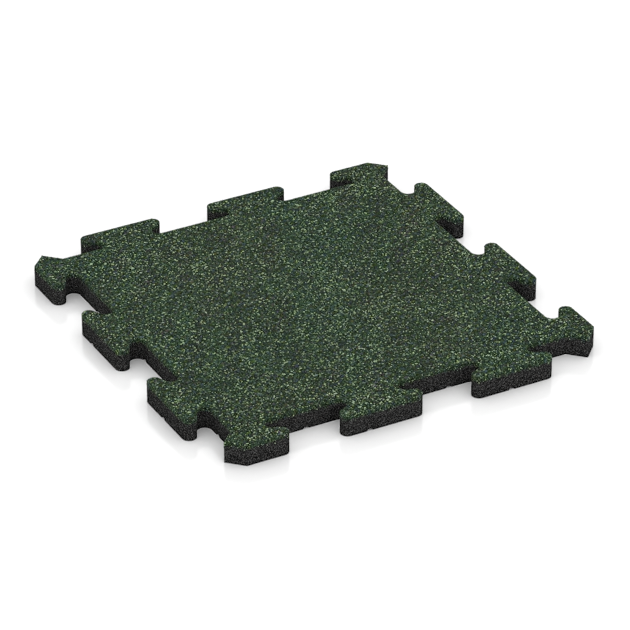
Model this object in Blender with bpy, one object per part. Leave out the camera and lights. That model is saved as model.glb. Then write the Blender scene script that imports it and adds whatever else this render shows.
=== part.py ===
"""Interlocking terrace tile of bound rubber granulate, in metres, +Z up.

The tile lies flat with its underside on z = 0 and its plan centred on the origin. All four
sides carry the same jigsaw profile, turned about the centre by a quarter turn each, so a
tile mates with its neighbours whichever way it is turned. A coloured wear layer is bonded
on a black base layer, and drainage channels cross the underside both ways.
"""

from math import cos, pi, radians, sin

import bmesh
import bpy
from mathutils import Matrix, Vector

# Laid size: the pitch at which tiles repeat, measured from joint line to joint line.
MODULE = 0.500
THICKNESS = 0.029
WEAR_THICKNESS = 0.005
TOP_EDGE_RADIUS = 0.0015
TOP_EDGE_STEPS = 2
LAYER_GAP = 0.0003

# Jigsaw profile: tabs stand out past the joint line by as much as pockets reach in.
TAB_REACH = 0.020
HALF_TAB_END = 0.070
POCKET_END = 0.160
HOOK_RADIUS = 0.0095
HOOK_SWEEP = radians(158)
HOOK_STEPS = 8

# Drainage channels on the underside, with tapered flanks. Counted across a set, the blind
# ones are the middle and the two outermost: they open into the pockets and end just past
# their line, so the tabs in line with them stay whole. The others cut through tabs as well.
CHANNEL_COUNT = 7
CHANNEL_PITCH = 0.065
BLIND_CHANNELS = (0, 3, 6)
BLIND_CHANNEL_REACH = MODULE / 2 - TAB_REACH + 0.001
CHANNEL_MOUTH_WIDTH = 0.008
CHANNEL_ROOF_WIDTH = 0.0055
CHANNEL_DEPTH = 0.003
CUTTER_MARGIN = 0.010

# Linear colours of the two granulates.
WEAR_COLOUR = (0.050, 0.085, 0.050, 1.0)
BASE_COLOUR = (0.024, 0.022, 0.023, 1.0)
GRANULATE_ROUGHNESS = 0.9

SIDES = 4


def clear_scene():
    """Remove every object, so that the model starts from an empty scene."""
    for scene_object in list(bpy.data.objects):
        bpy.data.objects.remove(scene_object, do_unlink=True)


def make_material(name, colour):
    """A rough, non-metallic finish of bound rubber granulate."""
    material = bpy.data.materials.new(name)
    material.use_nodes = True
    shader = material.node_tree.nodes["Principled BSDF"]
    shader.inputs["Base Color"].default_value = colour
    shader.inputs["Roughness"].default_value = GRANULATE_ROUGHNESS
    shader.inputs["Metallic"].default_value = 0.0
    return material


def hook_flank():
    """Flank of a tab, from its end face to the pocket beside it, centred on its midpoint.

    x runs along the side and y into the tile. The flank is an arc that rounds the tab's
    corner and turns back under it, a short straight, and the same arc turned the other way
    in the pocket's corner.
    """
    rise_of_arcs = 2 * HOOK_RADIUS * (1 - cos(HOOK_SWEEP))
    straight = (2 * TAB_REACH - rise_of_arcs) / sin(HOOK_SWEEP)
    angles = [HOOK_SWEEP * step / HOOK_STEPS for step in range(HOOK_STEPS + 1)]
    tab_arc = [
        Vector((HOOK_RADIUS * sin(angle), HOOK_RADIUS * (1 - cos(angle)))) for angle in angles
    ]
    turn = tab_arc[-1] + straight * Vector((cos(HOOK_SWEEP), sin(HOOK_SWEEP)))
    pocket_arc = [
        turn
        + HOOK_RADIUS
        * Vector((sin(HOOK_SWEEP) - sin(angle), cos(angle) - cos(HOOK_SWEEP)))
        for angle in reversed(angles)
    ]
    flank = tab_arc + pocket_arc
    middle = (flank[0] + flank[-1]) / 2
    return [point - middle for point in flank]


def side_profile():
    """Jigsaw profile of one side, from one corner of the module towards the next."""
    leaving_tab = hook_flank()
    entering_tab = [Vector((-point.x, point.y)) for point in reversed(leaving_tab)]
    crossings = (
        HALF_TAB_END,
        POCKET_END,
        MODULE / 2,
        MODULE - POCKET_END,
        MODULE - HALF_TAB_END,
    )
    profile = [Vector((0, 0)), Vector((TAB_REACH, -TAB_REACH))]
    for index, crossing in enumerate(crossings):
        flank = leaving_tab if index % 2 == 0 else entering_tab
        profile += [point + Vector((crossing, 0)) for point in flank]
    profile.append(Vector((MODULE - TAB_REACH, TAB_REACH)))
    return profile


def tile_outline():
    """Whole plan outline, anticlockwise: the side profile repeated by quarter turns."""
    centre = Vector((MODULE / 2, MODULE / 2))
    profile = [point - centre for point in side_profile()]
    outline = []
    for side in range(SIDES):
        turn = Matrix.Rotation(side * 2 * pi / SIDES, 2)
        outline += [turn @ point for point in profile]
    return outline


def extruded_mesh(outline, bottom, top):
    """Closed prism over the outline, and its top rim's edges, as an open bmesh."""
    mesh = bmesh.new()
    base_ring = [mesh.verts.new((point.x, point.y, bottom)) for point in outline]
    base = mesh.faces.new(list(reversed(base_ring)))
    raised = bmesh.ops.extrude_face_region(mesh, geom=[base], use_keep_orig=True)
    top_verts = [item for item in raised["geom"] if isinstance(item, bmesh.types.BMVert)]
    top_edges = [item for item in raised["geom"] if isinstance(item, bmesh.types.BMEdge)]
    bmesh.ops.translate(mesh, verts=top_verts, vec=(0, 0, top - bottom))
    bmesh.ops.recalc_face_normals(mesh, faces=mesh.faces)
    return mesh, top_edges


def add_object(name, mesh, material=None):
    """Link a bmesh into the scene as a named object with its own material."""
    data = bpy.data.meshes.new(name)
    mesh.to_mesh(data)
    mesh.free()
    data.validate()
    if material:
        data.materials.append(material)
    new_object = bpy.data.objects.new(name, data)
    bpy.context.scene.collection.objects.link(new_object)
    return new_object


def add_base_layer(outline, material):
    """Black base layer, from the floor up to the bond with the wear layer."""
    top = THICKNESS - WEAR_THICKNESS - LAYER_GAP
    mesh, _ = extruded_mesh(outline, 0.0, top)
    return add_object("base_layer", mesh, material)


def add_wear_layer(outline, material):
    """Coloured wear layer, with its top edge rounded all the way round."""
    mesh, top_edges = extruded_mesh(outline, THICKNESS - WEAR_THICKNESS, THICKNESS)
    bmesh.ops.bevel(
        mesh,
        geom=top_edges,
        offset=TOP_EDGE_RADIUS,
        segments=TOP_EDGE_STEPS,
        profile=0.5,
        affect="EDGES",
        clamp_overlap=True,
    )
    return add_object("wear_layer", mesh, material)


def channel_positions():
    """Places of the channels across the tile, evenly spread about its centre."""
    first = -CHANNEL_PITCH * (CHANNEL_COUNT - 1) / 2
    return [first + index * CHANNEL_PITCH for index in range(CHANNEL_COUNT)]


def channel_reach(index):
    """How far a channel, counted across its set, runs from the middle towards either end."""
    if index in BLIND_CHANNELS:
        return BLIND_CHANNEL_REACH
    return MODULE / 2 + TAB_REACH + CUTTER_MARGIN


def add_channel_cutters(name, turn):
    """One set of parallel channel prisms; all but the blind ones run past the tile."""
    flank_slope = (CHANNEL_MOUTH_WIDTH - CHANNEL_ROOF_WIDTH) / 2 / CHANNEL_DEPTH
    half_roof = CHANNEL_ROOF_WIDTH / 2
    half_foot = half_roof + flank_slope * (CHANNEL_DEPTH + CUTTER_MARGIN)
    mesh = bmesh.new()
    for index, place in enumerate(channel_positions()):
        reach = channel_reach(index)
        section = [
            (place - half_foot, -CUTTER_MARGIN),
            (place + half_foot, -CUTTER_MARGIN),
            (place + half_roof, CHANNEL_DEPTH),
            (place - half_roof, CHANNEL_DEPTH),
        ]
        ring = [mesh.verts.new((x, -reach, z)) for x, z in section]
        end = mesh.faces.new(ring)
        swept = bmesh.ops.extrude_face_region(mesh, geom=[end], use_keep_orig=True)
        far_verts = [item for item in swept["geom"] if isinstance(item, bmesh.types.BMVert)]
        bmesh.ops.translate(mesh, verts=far_verts, vec=(0, 2 * reach, 0))
    bmesh.ops.recalc_face_normals(mesh, faces=mesh.faces)
    cutter = add_object(name, mesh)
    cutter.rotation_euler = (0, 0, turn)
    cutter.hide_render = True
    cutter.display_type = "WIRE"
    return cutter


def cut(target, cutter):
    """Cut one set of channels out of the target with an exact Boolean."""
    modifier = target.modifiers.new(cutter.name, "BOOLEAN")
    modifier.operation = "DIFFERENCE"
    modifier.solver = "EXACT"
    modifier.object = cutter


def build_tile():
    """Build both layers and cut the drainage channels into the base."""
    outline = tile_outline()
    base_layer = add_base_layer(outline, make_material("black_granulate", BASE_COLOUR))
    add_wear_layer(outline, make_material("green_mix_granulate", WEAR_COLOUR))
    cut(base_layer, add_channel_cutters("channels_along_y", 0.0))
    cut(base_layer, add_channel_cutters("channels_along_x", pi / 2))


def main():
    """Model the tile in an empty scene."""
    clear_scene()
    build_tile()


main()
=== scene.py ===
"""Looks of the interlocking terrace tile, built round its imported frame, in metres.

The tile is two bonded layers of rubber granulate. The base layer is black granulate, pressed
in a mould, with drainage channels across its underside. The wear layer is a green mix whose
granules are modelled one by one: angular chips, pressed level on top and rolling over the
rounded edge down to a ragged line where the black begins.
"""

import logging
import math
from abc import ABC, abstractmethod
from dataclasses import dataclass, fields
from enum import Enum
from typing import Sequence

import bmesh
import bpy
import numpy as np
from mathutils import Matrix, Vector
from mathutils.geometry import delaunay_2d_cdt


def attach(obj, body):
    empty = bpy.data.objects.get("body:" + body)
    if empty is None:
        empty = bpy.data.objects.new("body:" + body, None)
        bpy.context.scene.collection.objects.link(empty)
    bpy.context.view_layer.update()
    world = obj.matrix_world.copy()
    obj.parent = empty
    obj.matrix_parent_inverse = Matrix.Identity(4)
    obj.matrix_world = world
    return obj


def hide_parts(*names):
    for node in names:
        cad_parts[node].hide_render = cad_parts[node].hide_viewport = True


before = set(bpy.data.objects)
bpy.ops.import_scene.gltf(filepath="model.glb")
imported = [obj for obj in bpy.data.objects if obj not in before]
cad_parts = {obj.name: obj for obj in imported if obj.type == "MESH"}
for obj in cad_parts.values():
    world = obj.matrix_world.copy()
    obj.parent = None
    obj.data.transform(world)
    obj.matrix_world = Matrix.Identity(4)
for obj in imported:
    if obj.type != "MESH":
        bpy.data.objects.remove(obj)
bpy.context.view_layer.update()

LOG = logging.getLogger("terrace_tile")
MM = 0.001
BODY = "root"
# Points of one piece that lie closer than this are one point.
SAME_POINT = 0.001 * MM
# How exactly a ring is filled, and the filling's mode that keeps to the ring's inside.
FILL_TOLERANCE = 0.0001 * MM
INSIDE_ONLY = 1
# Depths are measured for about so many points at a time, to keep the arrays small.
BLOCK_SIZE = 4000
# Nearly all of a noise texture's values lie between these two.
NOISE_LOW, NOISE_HIGH = 0.3, 0.7
SocketPair = tuple[bpy.types.NodeSocket, bpy.types.NodeSocket]


def linear_colour(hex_colour: str) -> tuple[float, float, float, float]:
    """Turn an sRGB hex colour into linear light.

    Args:
        hex_colour: Six hex digits, red then green then blue.

    Returns:
        Linear red, green and blue, with an alpha of one.
    """
    coded = np.array([int(hex_colour[at:at + 2], 16) for at in (0, 2, 4)]) / 255
    light = np.where(coded <= 0.04045, coded / 12.92, ((coded + 0.055) / 1.055) ** 2.4)
    return (*(float(part) for part in light), 1.0)


def add_node(
    tree: bpy.types.NodeTree,
    kind: str,
    inputs: dict[str | int, object] | None = None,
    **settings: object,
) -> bpy.types.Node:
    """Add a node with its settings, and link or set its inputs.

    Args:
        tree: The material's, the world's or the compositor's node tree.
        kind: The node's type name.
        inputs: Input names or places, each with a value or an output socket to link.
        settings: The node's own properties.

    Returns:
        The new node.
    """
    node = tree.nodes.new(kind)
    for name, value in settings.items():
        setattr(node, name, value)
    for name, value in (inputs or {}).items():
        if isinstance(value, bpy.types.NodeSocket):
            tree.links.new(value, node.inputs[name])
        else:
            node.inputs[name].default_value = value
    return node


def fill_ramp(node: bpy.types.Node, stops: Sequence[tuple[float, str]], stepped: bool) -> None:
    """Set a colour ramp's stops.

    Args:
        node: The ramp node.
        stops: Places from 0 to 1, each with its sRGB hex colour, lowest first.
        stepped: Whether the colours stay plain between stops.
    """
    ramp = node.color_ramp
    ramp.interpolation = "CONSTANT" if stepped else "LINEAR"
    while len(ramp.elements) < len(stops):
        ramp.elements.new(1.0)
    for element, (place, colour) in zip(ramp.elements, stops):
        element.position = place
        element.color = linear_colour(colour)


def new_piece(name: str, vertices: np.ndarray,
              polygons: Sequence[np.ndarray]) -> bpy.types.Object:
    """Make a flat-shaded piece from whole arrays of vertices and polygons.

    Args:
        name: The piece's name.
        vertices: One row of x, y and z for each vertex.
        polygons: Arrays of vertex indices, one array for each number of corners.

    Returns:
        The piece, linked into the scene at the origin.
    """
    corners = np.concatenate([group.ravel() for group in polygons])
    sizes = np.concatenate([np.full(len(group), group.shape[1]) for group in polygons])
    mesh = bpy.data.meshes.new(name)
    mesh.vertices.add(len(vertices))
    mesh.vertices.foreach_set("co", vertices.astype(np.float32).ravel())
    mesh.loops.add(len(corners))
    mesh.loops.foreach_set("vertex_index", corners.astype(np.int32))
    mesh.polygons.add(len(sizes))
    mesh.polygons.foreach_set("loop_start", (np.cumsum(sizes) - sizes).astype(np.int32))
    mesh.polygons.foreach_set("use_smooth", np.zeros(len(sizes), bool))
    mesh.update(calc_edges=True)
    mesh.validate()
    piece = bpy.data.objects.new(name, mesh)
    bpy.context.scene.collection.objects.link(piece)
    return piece


def weld(piece: bpy.types.Object) -> None:
    """Merge the points that a piece's parts share, which closes its seams.

    Args:
        piece: The piece.
    """
    mesh = bmesh.new()
    mesh.from_mesh(piece.data)
    bmesh.ops.remove_doubles(mesh, verts=mesh.verts, dist=SAME_POINT)
    mesh.to_mesh(piece.data)
    mesh.free()


def ring_quads(rows: int, columns: int) -> np.ndarray:
    """List the quads of a tube: rows of points, each row closed on itself, lowest first.

    Args:
        rows: Number of rows.
        columns: Number of points in a row.

    Returns:
        Four indices for each quad.
    """
    grid = np.arange(rows * columns).reshape(rows, columns)
    following = np.roll(grid, -1, axis=1)
    return np.stack([grid[:-1], following[:-1], following[1:], grid[1:]], -1).reshape(-1, 4)


def fill_ring(ring: np.ndarray, creases: np.ndarray) -> tuple[np.ndarray, np.ndarray]:
    """Fill a closed plan ring with triangles that keep to the given crease lines.

    Args:
        ring: The ring's points, anticlockwise, as x and y.
        creases: Short straight lines inside the ring, as pairs of points.

    Returns:
        The plan points and the anticlockwise triangles between them.
    """
    points = np.concatenate([ring, creases.reshape(-1, 2)])
    edges = len(ring) + np.arange(2 * len(creases)).reshape(-1, 2)
    made = delaunay_2d_cdt(
        [Vector(point) for point in points.tolist()],
        edges.tolist(), [list(range(len(ring)))], INSIDE_ONLY, FILL_TOLERANCE,
    )
    return np.array([tuple(point) for point in made[0]]), np.array(made[2])


@dataclass(frozen=True)
class TilePlan:
    """Plan of the tile: a square module with the same jigsaw profile on all four sides.

    Tabs stand out past the joint line as far as pockets reach in. The half tab and the first
    pocket end that far along a side, and its second half has the same with tabs for pockets.
    The blind channels are the ones, counted across, that end inside the tile.
    """

    module: float = 500 * MM
    reach: float = 20 * MM
    half_tab_end: float = 70 * MM
    pocket_end: float = 160 * MM
    hook_radius: float = 9.5 * MM
    hook_sweep: float = math.radians(158)
    hook_steps: int = 16
    channel_count: int = 7
    channel_pitch: float = 65 * MM
    channel_mouth: float = 8 * MM
    channel_roof: float = 5.5 * MM
    channel_depth: float = 3 * MM
    blind_channels: tuple[int, ...] = (0, 3, 6)
    blind_reach: float = 231 * MM
    blind_end_slope: float = 0.1 * MM

    def flank(self) -> np.ndarray:
        """Work out a tab's flank, from its end face to the pocket beside it.

        An arc turns by the hook's sweep, a short straight follows its last direction, and
        the same arc turned the other way ends level in the pocket. x runs along the side
        and y into the tile, and the middle of the two ends is the origin.

        Returns:
            The flank's points.
        """
        turn = np.linspace(0, self.hook_sweep, self.hook_steps + 1)
        drop = 2 * self.hook_radius * (1 - math.cos(self.hook_sweep))
        straight = (2 * self.reach - drop) / math.sin(self.hook_sweep)
        heading = np.array([math.cos(self.hook_sweep), math.sin(self.hook_sweep)])
        tab_arc = self.hook_radius * np.stack([np.sin(turn), 1 - np.cos(turn)], 1)
        back = turn[::-1]
        pocket_arc = self.hook_radius * np.stack(
            [heading[1] - np.sin(back), np.cos(back) - heading[0]], 1)
        points = np.concatenate([tab_arc, tab_arc[-1] + straight * heading + pocket_arc])
        return points - (points[0] + points[-1]) / 2

    def outline(self) -> np.ndarray:
        """Work out the whole outline, anticlockwise about the tile's middle.

        One side runs from its corner through tabs and pockets in turn, and quarter turns
        about the middle give the other three.

        Returns:
            The outline's points.
        """
        leaving = self.flank()
        entering = leaving[::-1] * (-1, 1)
        crossings = (self.half_tab_end, self.pocket_end, self.module / 2,
                     self.module - self.pocket_end, self.module - self.half_tab_end)
        side = [np.array([(0, 0), (self.reach, -self.reach)])]
        side += [(entering if place % 2 else leaving) + (crossing, 0)
                 for place, crossing in enumerate(crossings)]
        side += [np.array([(self.module - self.reach, self.reach)])]
        centred = np.concatenate(side) - self.module / 2
        quarter_turn = np.array([[0, -1], [1, 0]])
        sides = [centred]
        for _ in range(3):
            sides.append(sides[-1] @ quarter_turn.T)
        return np.concatenate(sides)

    def even_outline(self, spacing: float) -> tuple[np.ndarray, np.ndarray]:
        """Walk the outline in even steps.

        Args:
            spacing: Wanted length of a step.

        Returns:
            The points, and the outward direction at each, square to the line through its
            two neighbours.
        """
        corners = self.outline()
        closed = np.concatenate([corners, corners[:1]])
        length = np.concatenate([[0], np.cumsum(np.linalg.norm(np.diff(closed, axis=0), axis=1))])
        count = round(length[-1] / spacing)
        along = np.arange(count) * length[-1] / count
        points = np.stack([np.interp(along, length, closed[:, axis]) for axis in (0, 1)], 1)
        tangent = np.roll(points, -1, axis=0) - np.roll(points, 1, axis=0)
        outward = np.stack([tangent[:, 1], -tangent[:, 0]], 1)
        return points, outward / np.linalg.norm(outward, axis=1, keepdims=True)

    def depth(self, points: np.ndarray) -> np.ndarray:
        """Measure how far plan points lie inside the outline.

        Each is the distance to the nearest edge, with the sign from counting the edges
        that a line towards +x crosses.

        Args:
            points: Plan points.

        Returns:
            One depth for each point, negative outside.
        """
        start = self.outline()
        edge = np.roll(start, -1, axis=0) - start
        square = (edge ** 2).sum(1)
        slope = edge[:, 0] / np.where(edge[:, 1] == 0, 1, edge[:, 1])
        found = []
        for block in np.array_split(points, max(1, len(points) // BLOCK_SIZE)):
            offset = block[:, None] - start
            share = np.clip((offset * edge).sum(2) / square, 0, 1)
            gap = np.linalg.norm(offset - share[..., None] * edge, axis=2).min(1)
            above = offset[..., 1] >= 0
            straddles = above != (offset[..., 1] >= edge[:, 1])
            crossed = straddles & (offset[..., 0] < offset[..., 1] * slope)
            found.append(np.where(crossed.sum(1) % 2 == 1, gap, -gap))
        return np.concatenate(found)

    def channel_lines(self) -> np.ndarray:
        """Places of the channels' middle lines, evenly spread about the tile's middle."""
        return (np.arange(self.channel_count) - (self.channel_count - 1) / 2) * self.channel_pitch

    def channel_reaches(self) -> np.ndarray:
        """Work out how far the channels run: some end blind, and the others run out.

        Returns:
            One distance from the tile's middle for each channel.
        """
        reaches = np.full(self.channel_count, self.module)
        reaches[list(self.blind_channels)] = self.blind_reach
        return reaches

    def underside(self, points: np.ndarray) -> np.ndarray:
        """Work out the underside's height over plan points.

        It is the floor, raised to a channel's roof with straight flanks wherever a channel
        of either direction passes.

        Args:
            points: Plan points.

        Returns:
            One height for each point.
        """
        flank = (self.channel_mouth - self.channel_roof) / 2
        off_line = np.abs(points[:, None] - self.channel_lines()[:, None])
        raised = np.clip((self.channel_mouth / 2 - off_line) / flank, 0, 1)
        ends = self.channel_reaches()[:, None] + self.blind_end_slope / 2
        passes = np.abs(points[:, None, ::-1]) < ends
        return (raised * passes).max((1, 2)) * self.channel_depth

    def channel_creases(self, step: float, margin: float) -> np.ndarray:
        """Cut the channels' edge lines into short stretches that lie inside the outline.

        Each channel has four lines along it, at its mouth's and its roof's edges. A blind
        end has two lines across, at the top and at the foot of its steep face.

        Args:
            step: Length of a stretch.
            margin: How far inside the outline both ends of a stretch lie.

        Returns:
            Pairs of plan points.
        """
        halves = np.array([self.channel_mouth, self.channel_roof]) / 2
        offsets = np.sort(np.concatenate([-halves, halves]))
        stretches = []
        for place, reach in zip(self.channel_lines(), self.channel_reaches()):
            along = np.linspace(-reach, reach, round(2 * reach / step))
            lines = np.stack(np.meshgrid(place + offsets, along, indexing="ij"), 2)
            stretches.append(np.stack([lines[:, :-1], lines[:, 1:]], 2).reshape(-1, 2, 2))
            ends = np.array([reach, reach + self.blind_end_slope])
            cross = np.stack(np.meshgrid(np.concatenate([-ends, ends]), place + offsets), 2)
            cross = cross.transpose(1, 0, 2)[..., ::-1]
            stretches.append(np.stack([cross[:, :-1], cross[:, 1:]], 2).reshape(-1, 2, 2))
        lines = np.concatenate(stretches)
        both = np.concatenate([lines, lines[..., ::-1]])
        inside = (self.depth(both.reshape(-1, 2)) > margin).reshape(-1, 2).all(1)
        return both[inside]


def pebble_relief(along: np.ndarray, up: np.ndarray, cell: float, period: float,
                  stands: tuple[float, float], rng: np.random.Generator) -> np.ndarray:
    """Work out the relief of pressed granules over a strip that closes on itself.

    The strip is split into square cells with one seed somewhere in each. The relief is one
    at a seed and falls with the square of the distance to the nearest seed, to nothing one
    cell away, and each granule stands out by its own share.

    Args:
        along: Distance along the strip.
        up: Distance across it.
        cell: Width of a cell, about one granule.
        period: The strip's closed length.
        stands: Least and greatest share by which a granule stands out.
        rng: Source of the seeds' places and the shares.

    Returns:
        Heights from 0 to 1.
    """
    columns = round(period / cell)
    # One row of cells lies below the strip and two above, so every point has neighbours.
    rows = math.ceil(up.max() / cell) + 3
    seeds = rng.random((columns, rows, 2))
    stand = rng.uniform(*stands, (columns, rows))
    u, v = along * columns / period, up / cell + 1
    column, row = np.floor(u).astype(int), np.floor(v).astype(int)
    nearest = np.full(np.broadcast(u, v).shape, np.inf)
    height = np.zeros_like(nearest)
    for step_u in (-1, 0, 1):
        for step_v in (-1, 0, 1):
            at_u, at_v = column + step_u, np.clip(row + step_v, 0, rows - 1)
            seed = seeds[at_u % columns, at_v]
            gap = (u - at_u - seed[..., 0]) ** 2 + (v - at_v - seed[..., 1]) ** 2
            closer = gap < nearest
            nearest = np.where(closer, gap, nearest)
            height = np.where(closer, stand[at_u % columns, at_v], height)
    return np.clip(1 - nearest, 0, 1) * height


def shaded_cells(tree: bpy.types.NodeTree, grain: float,
                 shades: Sequence[tuple[float, str]]) -> SocketPair:
    """Colour a surface in cells: one for each fine granule, each in one plain colour.

    Args:
        tree: The material's node tree.
        grain: Mean width of a cell.
        shades: The cells' colours, each with the share of the cells that come before it.

    Returns:
        The colour, and the distance from the cell's middle.
    """
    place = add_node(tree, "ShaderNodeTexCoord")
    cells = add_node(tree, "ShaderNodeTexVoronoi", {
        "Vector": place.outputs["Object"], "Scale": 1 / grain})
    pick = add_node(tree, "ShaderNodeSeparateColor", {"Color": cells.outputs["Color"]})
    shade = add_node(tree, "ShaderNodeValToRGB", {"Fac": pick.outputs["Red"]})
    fill_ramp(shade, shades, stepped=True)
    return shade.outputs["Color"], cells.outputs["Distance"]


@dataclass(frozen=True)
class Scuffs:
    """Fine scuffs that lighten and darken a plain colour.

    Attributes:
        size: Width of a scuff.
        detail: How many finer sizes of scuff lie within it.
        contrast: Greatest share by which a scuff lightens or darkens.
    """

    size: float
    detail: float
    contrast: float

    def over(self, tree: bpy.types.NodeTree, colour: bpy.types.NodeSocket) -> SocketPair:
        """Scuff a colour.

        Args:
            tree: The material's node tree.
            colour: The plain colour.

        Returns:
            The scuffed colour, and the scuffs' height.
        """
        place = add_node(tree, "ShaderNodeTexCoord")
        noise = add_node(tree, "ShaderNodeTexNoise", {
            "Vector": place.outputs["Object"], "Scale": 1 / self.size, "Detail": self.detail})
        wear = add_node(tree, "ShaderNodeMapRange", {
            "Value": noise.outputs["Fac"], "From Min": NOISE_LOW, "From Max": NOISE_HIGH,
            "To Min": 1 - self.contrast, "To Max": 1 + self.contrast})
        worn = add_node(tree, "ShaderNodeVectorMath", {
            0: colour, "Scale": wear.outputs["Result"]}, operation="SCALE")
        return worn.outputs["Vector"], noise.outputs["Fac"]


@dataclass(frozen=True)
class Dye:
    """One colour of the green mix.

    Attributes:
        share: Its share of the granules.
        dark: Its dark shade.
        light: Its light shade.
        cast: How strongly the drifting cast shows in it.
    """

    share: float
    dark: str
    light: str
    cast: float


class GranuleColour(Enum):
    """Colours of the green mix."""

    BOTTLE_GREEN = Dye(0.23, "243022", "3A483C", 1.4)
    PINE_GREEN = Dye(0.22, "304031", "485A4B", 1.2)
    MOSS_GREEN = Dye(0.17, "425441", "63745D", 0.9)
    PALE_LIME = Dye(0.12, "637459", "91A380", 0.5)
    SLATE = Dye(0.14, "262F2A", "404F4C", 1.4)
    UMBER = Dye(0.12, "33352C", "54564D", 1.4)


@dataclass(frozen=True, kw_only=True)
class RubberFinish(ABC):
    """What all rubber in the tile shares: cut or pressed faces, matte, in fine relief.

    Attributes:
        name: The material's name.
        roughness: Roughness of the faces.
        specular: Share of the usual gloss, which the binder's dull skin takes away.
        bump_depth: Depth of the fine relief.
        sunken: Whether the relief goes down where its pattern goes up.
    """

    name: str
    roughness: float = 0.9
    specular: float = 0.05
    bump_depth: float = 0.3 * MM
    sunken: bool = False

    @abstractmethod
    def pattern(self, tree: bpy.types.NodeTree) -> SocketPair:
        """Add the finish's own nodes.

        Args:
            tree: The material's node tree.

        Returns:
            The colour, and the height of the relief.
        """

    def material(self) -> bpy.types.Material:
        """Build the material from the finish's own pattern and the shared surface.

        Returns:
            The material.
        """
        made = bpy.data.materials.new(self.name)
        made.use_nodes = True
        tree = made.node_tree
        colour, height = self.pattern(tree)
        bump = add_node(tree, "ShaderNodeBump", {
            "Height": height, "Distance": self.bump_depth}, invert=self.sunken)
        shader = tree.nodes["Principled BSDF"]
        tree.links.new(colour, shader.inputs["Base Color"])
        tree.links.new(bump.outputs["Normal"], shader.inputs["Normal"])
        shader.inputs["Roughness"].default_value = self.roughness
        shader.inputs["Specular IOR Level"].default_value = self.specular
        return made


@dataclass(frozen=True, kw_only=True)
class EpdmGranuleFinish(RubberFinish):
    """Dyed-through EPDM, cured and cut to granules.

    Cut faces are matte with a faint skin of binder, so each granule keeps one plain colour
    with fine scuffs, and hardly any gloss shows. The mesh holds each granule's tone, from
    its colour's dark shade to the light one, and its cast.
    """

    dye: Dye
    scuffs: Scuffs = Scuffs(size=0.9 * MM, detail=2.0, contrast=0.3)
    bump_depth: float = 0.08 * MM

    def pattern(self, tree: bpy.types.NodeTree) -> SocketPair:
        """Shade each granule by its tone, scuff it, and tint it by its cast.

        Args:
            tree: The material's node tree.

        Returns:
            The colour, and the scuffs' height.
        """
        tone = add_node(tree, "ShaderNodeAttribute", attribute_name="tone")
        cast = add_node(tree, "ShaderNodeAttribute", attribute_name="cast")
        shade = add_node(tree, "ShaderNodeValToRGB", {"Fac": tone.outputs["Fac"]})
        fill_ramp(shade, [(0.0, self.dye.dark), (1.0, self.dye.light)], stepped=False)
        worn, height = self.scuffs.over(tree, shade.outputs["Color"])
        tinted = add_node(tree, "ShaderNodeVectorMath", {
            0: worn, 1: cast.outputs["Vector"]}, operation="MULTIPLY")
        return tinted.outputs["Vector"], height


@dataclass(frozen=True, kw_only=True)
class BinderBedFinish(RubberFinish):
    """Fine green granulate in polyurethane binder, as it shows between the large granules.

    It lies in their shade, so it reads as a dark, slightly greener ground.
    """

    name: str = "bound_fine_granulate_green"
    grain: float = 1.5 * MM
    shades: tuple[tuple[float, str], ...] = (
        (0.0, "161E14"), (0.3, "202E1F"), (0.6, "2B3D2B"), (0.85, "3D5339"))
    sunken: bool = True

    def pattern(self, tree: bpy.types.NodeTree) -> SocketPair:
        """Shade the bed in cells, which sink towards their rims."""
        return shaded_cells(tree, self.grain, self.shades)


@dataclass(frozen=True, kw_only=True)
class BlackGranulateFinish(RubberFinish):
    """Black rubber granulate, pressed against a mould wall and bound.

    Fine charcoal granules lie close together: a dark matte ground with a sprinkling of
    greyer and faintly brown grains, and small pits between them. The greyer grains are
    partly their own colour and partly painted glints, lit facets and highlights painted in.
    The upper part of the side is painted paler, more the higher up and fully at the top:
    painted light, for the light the upper side gets above the shaded floor.
    """

    name: str = "bound_granulate_black"
    grain: float = 0.9 * MM
    # The greyer cells are partly the grains' own colour and partly painted glints: lit facets and
    # highlights painted in.
    shades: tuple[tuple[float, str], ...] = (
        (0.0, "0A0A0A"), (0.2, "1B1B1B"), (0.42, "2D2D2D"), (0.72, "404040"),
        (0.88, "545454"), (0.95, "4E4B49"))
    scuffs: Scuffs = Scuffs(size=0.45 * MM, detail=3.0, contrast=0.4)
    # Painted light: a paler grey that the side is mixed towards higher up, standing in for the
    # light it gets there.
    painted_light_colour: str = "545352"
    painted_light_share: float = 0.06
    painted_light_heights: tuple[float, float] = (8 * MM, 17 * MM)
    specular: float = 0.0
    bump_depth: float = 0.35 * MM
    sunken: bool = True

    def pattern(self, tree: bpy.types.NodeTree) -> SocketPair:
        """Shade the granulate in cells, scuff them, and make them paler from a height on: painted
        light.

        Args:
            tree: The material's node tree.

        Returns:
            The colour, and the height of the relief.
        """
        shade, height = shaded_cells(tree, self.grain, self.shades)
        worn, _ = self.scuffs.over(tree, shade)
        place = add_node(tree, "ShaderNodeTexCoord")
        parts = add_node(tree, "ShaderNodeSeparateXYZ", {0: place.outputs["Object"]})
        # Painted light: from the lower height up, the side is mixed towards the paler grey, fully
        # from the upper one.
        lowest, highest = self.painted_light_heights
        painted_light = add_node(tree, "ShaderNodeMapRange", {
            "Value": parts.outputs["Z"], "From Min": lowest, "From Max": highest,
            "To Min": 0.0, "To Max": self.painted_light_share})
        painted_lit = add_node(tree, "ShaderNodeMix", {
            "Factor": painted_light.outputs["Result"], "A": worn,
            "B": linear_colour(self.painted_light_colour)[:3]}, data_type="VECTOR")
        return painted_lit.outputs["Result"], height


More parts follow.
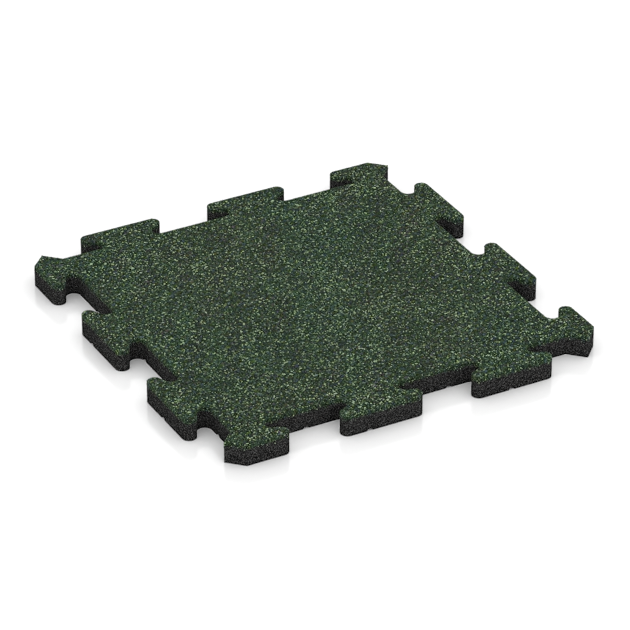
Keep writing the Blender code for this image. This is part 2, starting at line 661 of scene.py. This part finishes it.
@dataclass
class BaseLayer:
    """Black base layer: granular side walls, an underside with channels, and a flat bond.

    Attributes:
        plan: The tile's plan.
        bond_height: Height of the flat top, to which the wear layer is bonded.
        step: Spacing of the points round the wall.
        rows: Rows of points up the wall.
        pebble: Width of a granule in the wall.
        relief: Greatest depth between the granules.
        stands: Least and greatest share of it by which one stands out.
        crease_step: Length of a stretch of a channel's edge line.
        crease_margin: How far inside the outline the stretches stay.
        seed: Seed of the granules' places.
    """

    plan: TilePlan
    bond_height: float = 23.9 * MM
    step: float = 1.2 * MM
    rows: int = 21
    pebble: float = 2.4 * MM
    relief: float = 0.3 * MM
    stands: tuple[float, float] = (0.45, 1.0)
    crease_step: float = 3 * MM
    crease_margin: float = 1.2 * MM
    seed: int = 11

    def wall(self) -> np.ndarray:
        """Work out the side wall: the outline carried up from the underside to the bond.

        Each column runs straight up from the underside's height at that point of the
        outline, and each point is set in from the outline by the relief that the granule
        there lacks.

        Returns:
            Rows of points, lowest first.
        """
        points, outward = self.plan.even_outline(self.step)
        share = np.linspace(0, 1, self.rows)[:, None]
        foot = self.plan.underside(points)
        height = foot + share * (self.bond_height - foot)
        along = np.arange(len(points)) * self.step
        relief = pebble_relief(along[None], height, self.pebble, len(points) * self.step,
                               self.stands, np.random.default_rng(self.seed))
        inset = self.relief * (1 - relief)
        plan_points = points - outward * inset[..., None]
        return np.concatenate([plan_points, height[..., None]], 2)

    def build(self) -> bpy.types.Object:
        """Build the layer as one closed piece and dress it.

        Returns:
            The piece.
        """
        wall = self.wall()
        creases = self.plan.channel_creases(self.crease_step, self.crease_margin)
        under, under_faces = fill_ring(wall[0, :, :2], creases)
        under_points = np.column_stack([under, self.plan.underside(under)])
        ring_size = wall.shape[1]
        bond, bond_faces = fill_ring(wall[-1, :, :2], np.empty((0, 2, 2)))
        bond_points = np.column_stack([bond, np.full(len(bond), self.bond_height)])
        vertices = np.concatenate([wall.reshape(-1, 3), under_points, bond_points])
        first_under = wall.shape[0] * ring_size
        first_bond = first_under + len(under_points)
        piece = new_piece("base_layer_body", vertices, [
            ring_quads(self.rows, ring_size),
            np.concatenate([under_faces[:, ::-1] + first_under, bond_faces + first_bond]),
        ])
        weld(piece)
        piece.data.materials.append(BlackGranulateFinish().material())
        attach(piece, BODY)
        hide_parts("base_layer")
        return piece


@dataclass(frozen=True)
class Seats:
    """Places for granules on the tile's surface, one row for each in every array.

    Attributes:
        point: Place on the surface.
        outward: Direction straight out of the surface.
        along: Direction along the surface.
        size: Mean width of the granule.
        sink: How far the granule's crown lies below the surface.
    """

    point: np.ndarray
    outward: np.ndarray
    along: np.ndarray
    size: np.ndarray
    sink: np.ndarray

    @classmethod
    def joined(cls, parts: Sequence["Seats"]) -> "Seats":
        """Put several sets of places one after the other."""
        return cls(*(np.concatenate([getattr(part, entry.name) for part in parts])
                     for entry in fields(cls)))


@dataclass(frozen=True)
class GranuleShape:
    """Proportions of a cut granule: a leaning block, narrower at its crown.

    Attributes:
        corners: Corners of its foot, and of its crown.
        angle_spread: Greatest shift of a corner round the ring, as a share of an even step.
        radius_range: Least and greatest radius of a corner, as shares of half the size.
        stretch_range: Least and greatest factor by which the ring is drawn out.
        crown_range: Least and greatest width of the crown, as shares of the foot's.
        lean: Slope of the crown.
        root: How far the foot lies below the crown.
    """

    corners: int = 4
    angle_spread: float = 0.28
    radius_range: tuple[float, float] = (0.85, 1.2)
    stretch_range: tuple[float, float] = (1.0, 1.3)
    crown_range: tuple[float, float] = (0.65, 0.9)
    lean: float = 0.07
    root: float = 1.0 * MM

    def blocks(self, seats: Seats, rng: np.random.Generator) -> np.ndarray:
        """Work out every granule's corners: the foot's ring, then the crown's.

        A corner lies at an uneven angle and radius round its place. The ring is drawn out
        along a random direction and narrowed across it by the same share. The crown leans:
        each of its corners drops by the lean times how far it lies on the low side.

        Args:
            seats: The granules' places.
            rng: Source of the uneven shapes.

        Returns:
            Corners of each granule, as granule, corner, and x, y and z.
        """
        count = len(seats.size)
        shape = (count, self.corners)
        angle = np.arange(self.corners) + rng.uniform(-self.angle_spread, self.angle_spread, shape)
        angle *= 2 * math.pi / self.corners
        radius = seats.size[:, None] / 2 * rng.uniform(*self.radius_range, shape)
        stretch = rng.uniform(*self.stretch_range, (count, 1))
        turn, low_side = rng.uniform(0, 2 * math.pi, (2, count, 1))
        length, width = radius * stretch * np.cos(angle), radius / stretch * np.sin(angle)
        across = length * np.cos(turn) - width * np.sin(turn)
        beside = length * np.sin(turn) + width * np.cos(turn)
        crown = rng.uniform(*self.crown_range, (count, 1))
        drop = seats.sink[:, None] + self.lean * radius * (1 + np.cos(angle - low_side))
        foot_ring = np.stack([across, beside, np.broadcast_to(-drop - self.root, shape)], 2)
        crown_ring = np.stack([across * crown, beside * crown, -drop], 2)
        local = np.concatenate([foot_ring, crown_ring], 1)
        axes = np.stack([seats.along, np.cross(seats.outward, seats.along), seats.outward], 1)
        return seats.point[:, None] + local @ axes

    def faces(self, count: int) -> list[np.ndarray]:
        """List the faces of all granules.

        Args:
            count: Number of granules.

        Returns:
            Corner indices of the crowns and feet, then those of the sides.
        """
        ring = np.arange(self.corners)
        following = np.roll(ring, -1)
        caps = np.stack([ring + self.corners, ring[::-1]])
        sides = np.stack([ring, following, following + self.corners, ring + self.corners], 1)
        first = np.arange(count)[:, None, None] * 2 * self.corners
        return [(part + first).reshape(-1, part.shape[1]) for part in (caps, sides)]


@dataclass(frozen=True)
class Drift:
    """How a share drifts over the tile, as no batch is mixed evenly: a sum of even waves.

    Attributes:
        spread: Spread of the drift about its mean.
        shortest: Least wavelength.
        longest: Greatest wavelength.
        waves: How many waves are summed.
    """

    spread: float
    shortest: float
    longest: float
    waves: int = 24

    def over(self, points: np.ndarray, rng: np.random.Generator) -> np.ndarray:
        """Work out the drift at plan points.

        Args:
            points: Plan points.
            rng: Source of the waves' headings, lengths and phases.

        Returns:
            One value about 0 for each point.
        """
        heading, phase = rng.uniform(0, 2 * math.pi, (2, self.waves))
        pace = 2 * math.pi / rng.uniform(self.shortest, self.longest, self.waves)
        total = np.zeros(len(points))
        for across, up, start in zip(pace * np.cos(heading), pace * np.sin(heading), phase):
            total += np.sin(points @ (across, up) + start)
        return self.spread * math.sqrt(2 / self.waves) * total


@dataclass
class WearLayer:
    """Green wear layer: a bed of fine granulate and the large granules that cover it.

    Attributes:
        plan: The tile's plan.
        bond_height: Height of the bond with the base layer.
        top_height: Height of the walking surface.
        edge_radius: Radius of the rounded top edge.
        edge_steps: Straight steps in the bed's edge.
        bed_inset: How far the bed lies inside the side and the rounded edge.
        bed_depth: How far it lies below the walking surface.
        bed_step: Spacing of the points round it.
        pitch: Spacing of the granules on top.
        jitter: Their greatest shift along each axis, as a share of the pitch.
        size: Their median width.
        size_spread: Spread of the widths' logarithms.
        deepest_crown: How far the deepest crowns lie below the surface.
        edge_margin: Least depth inside the outline of a granule on top.
        side_rows: Heights of the rows of granules on the side.
        side_pitch: Spacing of the granules in a row.
        rim_size: Median width of the granules in the rows.
        ragged: Greatest offset of a granule from the lowest row.
        side_tone: Share of the tones' range that is left on the side.
        mix_drift: Drift of the logarithm of a colour's share.
        cast_drifts: Drifts of the cast's red, green and blue.
        seed: Seed of the layer.
    """

    plan: TilePlan
    bond_height: float = 24.0 * MM
    top_height: float = 29.0 * MM
    edge_radius: float = 1.5 * MM
    edge_steps: int = 4
    bed_inset: float = 0.25 * MM
    bed_depth: float = 0.8 * MM
    bed_step: float = 1.5 * MM
    pitch: float = 2.42 * MM
    jitter: float = 0.4
    size: float = 2.5 * MM
    size_spread: float = 0.28
    deepest_crown: float = 0.3 * MM
    edge_margin: float = 1.5 * MM
    side_rows: tuple[float, ...] = (22.1 * MM, 23.2 * MM, 24.4 * MM, 25.8 * MM, 27.2 * MM)
    side_pitch: float = 1.7 * MM
    rim_size: float = 1.9 * MM
    ragged: float = 1.4 * MM
    side_tone: float = 0.92
    mix_drift: Drift = Drift(0.23, 40 * MM, 300 * MM)
    cast_drifts: tuple[Drift, ...] = (
        Drift(0.032, 60 * MM, 400 * MM), Drift(0.054, 6 * MM, 80 * MM),
        Drift(0.200, 6 * MM, 15 * MM))
    seed: int = 35

    def bed_profile(self) -> np.ndarray:
        """Work out the bed's side: up, and over the edge at the same inset, then down.

        Returns:
            Insets from the outline and heights, from the bond to the top.
        """
        turn = np.linspace(0, math.pi / 2, self.edge_steps + 1)
        radius = self.edge_radius - self.bed_inset
        inset = self.edge_radius - radius * np.cos(turn)
        height = self.top_height - self.edge_radius + radius * np.sin(turn)
        low = np.array([(self.bed_inset, self.bond_height)])
        inner = np.array([(2 * self.edge_radius, self.top_height - self.bed_depth)])
        return np.concatenate([low, np.stack([inset, height], 1), inner])

    def add_bed(self) -> bpy.types.Object:
        """Build the bed of fine granulate between and below the granules.

        Returns:
            The bed.
        """
        points, outward = self.plan.even_outline(self.bed_step)
        profile = self.bed_profile()
        plan_rows = points - outward * profile[:, :1, None]
        heights = np.broadcast_to(profile[:, 1:, None], plan_rows.shape[:2] + (1,))
        wall = np.concatenate([plan_rows, heights], 2)
        parts, groups, first = [wall.reshape(-1, 3)], [], len(wall) * len(points)
        for row, upward in ((wall[0], False), (wall[-1], True)):
            cap, triangles = fill_ring(row[:, :2], np.empty((0, 2, 2)))
            parts.append(np.column_stack([cap, np.full(len(cap), row[0, 2])]))
            groups.append((triangles if upward else triangles[:, ::-1]) + first)
            first += len(cap)
        faces = [ring_quads(len(wall), len(points)), np.concatenate(groups)]
        bed = new_piece("wear_layer_bed", np.concatenate(parts), faces)
        weld(bed)
        bed.data.materials.append(BinderBedFinish().material())
        return bed

    def top_seats(self, rng: np.random.Generator) -> Seats:
        """Spread granules over the top: a hexagonal grid, each place moved at random.

        A crown's depth is a squared random share of the deepest one's, so few lie deep.

        Args:
            rng: Source of the shifts, sizes and depths.

        Returns:
            The granules' places.
        """
        half = self.plan.module / 2 + self.plan.reach
        across = np.arange(-half, half, self.pitch)
        rows = np.arange(-half, half, self.pitch * math.sqrt(3) / 2)
        grid = np.stack(np.meshgrid(across, rows), 2)
        grid[1::2, :, 0] += self.pitch / 2
        shifts = rng.uniform(-self.jitter, self.jitter, (grid[..., 0].size, 2))
        plan_points = grid.reshape(-1, 2) + shifts * self.pitch
        depth = self.plan.depth(plan_points)
        inside = depth > self.edge_margin
        plan_points, depth = plan_points[inside], depth[inside]
        count = len(depth)
        size = self.size * rng.lognormal(0, self.size_spread, count)
        return Seats(
            point=np.column_stack([plan_points, np.full(count, self.top_height)]),
            outward=np.tile((0.0, 0.0, 1.0), (count, 1)),
            along=np.tile((1.0, 0.0, 0.0), (count, 1)),
            size=np.minimum(size, 2 * depth - self.edge_radius),
            sink=rng.uniform(0, 1, count) ** 2 * self.deepest_crown,
        )

    def rim_seats(self, rng: np.random.Generator) -> list[Seats]:
        """Set granules along the side and over the rounded edge, row above row.

        The rows on the straight side keep to the outline, and the last one lies halfway
        round the edge. Each granule moves along its row by up to half the spacing. The lower
        a row, the more uneven it is, so the green ends raggedly.

        Args:
            rng: Source of the shifts, sizes and depths.

        Returns:
            The granules' places, row by row.
        """
        points, outward = self.plan.even_outline(self.side_pitch)
        count = len(points)
        along = np.stack([-outward[:, 1], outward[:, 0]], 1)
        rows = [(height, 0.0) for height in self.side_rows]
        rows.append((self.top_height - self.edge_radius, math.pi / 4))
        made = []
        for place, (height, turn) in enumerate(rows):
            shift = rng.uniform(-0.5, 0.5, (count, 1)) * self.side_pitch
            inset = self.edge_radius * (1 - math.cos(turn))
            level = height + self.edge_radius * math.sin(turn)
            uneven = rng.uniform(-1, 1, count) * self.ragged * (1 - place / (len(rows) - 1))
            made.append(Seats(
                point=np.column_stack([points - outward * inset + along * shift, level + uneven]),
                outward=np.column_stack([outward * math.cos(turn), np.full(count, math.sin(turn))]),
                along=np.column_stack([along, np.zeros(count)]),
                size=self.rim_size * rng.lognormal(0, self.size_spread, count),
                sink=rng.uniform(0, 1, count) ** 2 * self.deepest_crown,
            ))
        return made

    def add_granules(self) -> list[bpy.types.Object]:
        """Build the large granules: one joined mesh for each colour of the mix.

        The colours' shares drift over the tile, and so do the red, the green and the blue
        of the granules' cast. On the side, and less so over the edge, the tones reach less far
        towards the light shade than on top.

        Returns:
            One piece for each colour.
        """
        rng = np.random.default_rng(self.seed)
        shape = GranuleShape()
        seats = Seats.joined([self.top_seats(rng), *self.rim_seats(rng)])
        blocks = shape.blocks(seats, rng)
        # The mould stops every granule at the walking surface and at the tabs' end faces.
        limit = self.plan.module / 2 + self.plan.reach
        blocks = np.clip(blocks, (-limit, -limit, 0), (limit, limit, self.top_height))
        colours = list(GranuleColour)
        shares = np.array([colour.value.share for colour in colours])
        strengths = np.array([colour.value.cast for colour in colours])
        places = seats.point[:, :2]
        drifts = np.stack([self.mix_drift.over(places, rng) for _ in colours], 1)
        casts = np.stack([drift.over(places, rng) for drift in self.cast_drifts], 1)
        facing_up = seats.outward[:, 2]
        tones = rng.random(len(blocks)) * (self.side_tone + (1 - self.side_tone) * facing_up)
        upper = np.cumsum(shares * np.exp(drifts), axis=1)
        pick = (rng.random((len(blocks), 1)) * upper[:, -1:] > upper).sum(1)
        casts = 1 + casts * strengths[pick, None]
        made = []
        for place, colour in enumerate(colours):
            chosen = pick == place
            label = colour.name.lower()
            piece = new_piece(f"granules_{label}", blocks[chosen].reshape(-1, 3),
                              shape.faces(chosen.sum()))
            each = np.repeat(np.flatnonzero(chosen), 2 * shape.corners)
            for name, kind, entry, values in (("tone", "FLOAT", "value", tones),
                                              ("cast", "FLOAT_VECTOR", "vector", casts)):
                held = piece.data.attributes.new(name, kind, "POINT")
                held.data.foreach_set(entry, values[each].astype(np.float32).ravel())
            finish = EpdmGranuleFinish(name=f"epdm_granules_{label}", dye=colour.value)
            piece.data.materials.append(finish.material())
            made.append(piece)
        return made

    def build(self) -> list[bpy.types.Object]:
        """Build the layer and dress it.

        Returns:
            The bed and the granules' pieces.
        """
        pieces = [self.add_bed()] + self.add_granules()
        for piece in pieces:
            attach(piece, BODY)
            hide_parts("wear_layer")
        return pieces


@dataclass
class Studio:
    """Pale floor, even white light and the camera at the photograph's viewing angle.

    Lens and sensor are in millimetres. The camera looks a little right of and above the
    tile's middle. The floor's glaze gives the faint mirror image.
    """

    azimuth: float = math.radians(-28.371)
    elevation: float = math.radians(30.552)
    distance: float = 5.1335
    aim_right: float = 5.39 * MM
    aim_up: float = 0.67 * MM
    lens: float = 236.18
    sensor: float = 36.0
    clip_end: float = 100.0
    sky_rise: float = 4.22
    sky_fall: float = 3.14
    sky_lean: tuple[float, float, float] = (0.12, -0.09, 0.0)
    floor_half: float = 30.0
    floor_colour: str = "F6F6F6"
    floor_roughness: float = 0.15
    floor_ior: float = 1.7
    sharpening: float = 0.15
    colour_softness: float = 0.8
    floor_brightness: float = 0.7
    display_gamma: float = 2.2

    def add_floor(self) -> None:
        """Lay the floor: one large pale square under the tile."""
        corners = np.array([(-1, -1, 0), (1, -1, 0), (1, 1, 0), (-1, 1, 0)]) * self.floor_half
        floor = new_piece("floor", corners, [np.array([[0, 1, 2, 3]])])
        made = bpy.data.materials.new("glazed_white_board")
        made.use_nodes = True
        shader = made.node_tree.nodes["Principled BSDF"]
        shader.inputs["Base Color"].default_value = linear_colour(self.floor_colour)
        shader.inputs["Roughness"].default_value = self.floor_roughness
        shader.inputs["IOR"].default_value = self.floor_ior
        floor.data.materials.append(made)

    def add_sky(self) -> None:
        """Light the scene softly from all round, as a light tent does.

        With z as the direction's height, the strength is z times the rise, less z squared
        times the fall: dark at the horizon, brightest at 40 degrees. A lean to one side,
        the direction's share along it, makes the right hand side a little brighter.
        """
        world = bpy.data.worlds.new("light_tent")
        world.use_nodes = True
        tree = world.node_tree
        direction = add_node(tree, "ShaderNodeTexCoord")
        lean = add_node(tree, "ShaderNodeVectorMath", {
            0: direction.outputs["Generated"], 1: self.sky_lean}, operation="DOT_PRODUCT")
        parts = add_node(tree, "ShaderNodeSeparateXYZ", {0: direction.outputs["Generated"]})
        slope = add_node(tree, "ShaderNodeMath", {
            0: parts.outputs["Z"], 1: -self.sky_fall, 2: self.sky_rise},
            operation="MULTIPLY_ADD")
        bow = add_node(tree, "ShaderNodeMath", {
            0: parts.outputs["Z"], 1: slope.outputs["Value"], 2: lean.outputs["Value"]},
            operation="MULTIPLY_ADD")
        strength = add_node(tree, "ShaderNodeMath", {
            0: bow.outputs["Value"], 1: 0.0}, operation="MAXIMUM")
        background = tree.nodes["Background"]
        background.inputs["Color"].default_value = linear_colour("FFFFFF")
        tree.links.new(strength.outputs["Value"], background.inputs["Strength"])
        bpy.context.scene.world = world

    def add_camera(self) -> None:
        """Set up the camera, which looks past the tile's middle from far off."""
        back = Vector((math.sin(self.azimuth) * math.cos(self.elevation),
                       -math.cos(self.azimuth) * math.cos(self.elevation),
                       math.sin(self.elevation)))
        right = Vector((0, 0, 1)).cross(back).normalized()
        up = back.cross(right)
        data = bpy.data.cameras.new("photo_camera")
        data.lens = self.lens
        data.sensor_width = self.sensor
        data.clip_end = self.clip_end
        camera = bpy.data.objects.new("photo_camera", data)
        camera.location = back * self.distance + right * self.aim_right + up * self.aim_up
        camera.rotation_mode = "QUATERNION"
        camera.rotation_quaternion = back.to_track_quat("Z", "Y")
        bpy.context.scene.collection.objects.link(camera)
        bpy.context.scene.camera = camera

    def add_photo_finish(self) -> None:
        """Finish the tile as the photo was, in display brightness.

        Its brightness is sharpened a little, and its colour runs into the next pixels. The
        floor, known by its brightness, and the rim of pixels next to it stay as they are.
        """
        scene = bpy.context.scene
        scene.use_nodes = True
        tree = scene.node_tree
        tree.nodes.clear()
        layers = add_node(tree, "CompositorNodeRLayers")
        display = add_node(tree, "CompositorNodeGamma", {
            "Image": layers.outputs["Image"], "Gamma": 1 / self.display_gamma})
        sharp = add_node(tree, "CompositorNodeFilter", {
            "Image": display.outputs["Image"], "Fac": self.sharpening},
            filter_type="SHARPEN_DIAMOND")
        soft = add_node(tree, "CompositorNodeFilter", {
            "Image": sharp.outputs["Image"], "Fac": self.colour_softness}, filter_type="SOFTEN")
        sharp_parts, soft_parts = (add_node(tree, "CompositorNodeSeparateColor", {
            "Image": source.outputs["Image"]}, mode="YCC") for source in (sharp, soft))
        finished = add_node(tree, "CompositorNodeCombineColor", {
            0: sharp_parts.outputs[0], 1: soft_parts.outputs[1], 2: soft_parts.outputs[2]},
            mode="YCC")
        brightness = add_node(tree, "CompositorNodeRGBToBW", {"Image": display.outputs["Image"]})
        floor = add_node(tree, "CompositorNodeMath", {
            0: brightness.outputs["Val"], 1: self.floor_brightness}, operation="GREATER_THAN")
        rim = add_node(tree, "CompositorNodeDilateErode", {
            "Mask": floor.outputs["Value"], "Size": 1})
        shown = add_node(tree, "CompositorNodeMixRGB", {
            "Fac": rim.outputs["Mask"], 1: finished.outputs["Image"],
            2: display.outputs["Image"]})
        light = add_node(tree, "CompositorNodeGamma", {
            "Image": shown.outputs["Image"], "Gamma": self.display_gamma})
        add_node(tree, "CompositorNodeComposite", {"Image": light.outputs["Image"]})

    def build(self) -> None:
        """Build the whole studio, shown with plain, unfiltered colours."""
        self.add_floor()
        self.add_sky()
        self.add_camera()
        self.add_photo_finish()
        bpy.context.scene.view_settings.view_transform = "Standard"


def main() -> None:
    """Build the tile's looks and the studio, and log each piece."""
    logging.basicConfig(level=logging.INFO, format="%(name)s: %(message)s")
    plan = TilePlan()
    Studio().build()
    pieces = [BaseLayer(plan).build()] + WearLayer(plan).build()
    for piece in pieces:
        piece.data.calc_loop_triangles()
        LOG.info("%s: %d triangles", piece.name, len(piece.data.loop_triangles))


if __name__ == "__main__":
    main()
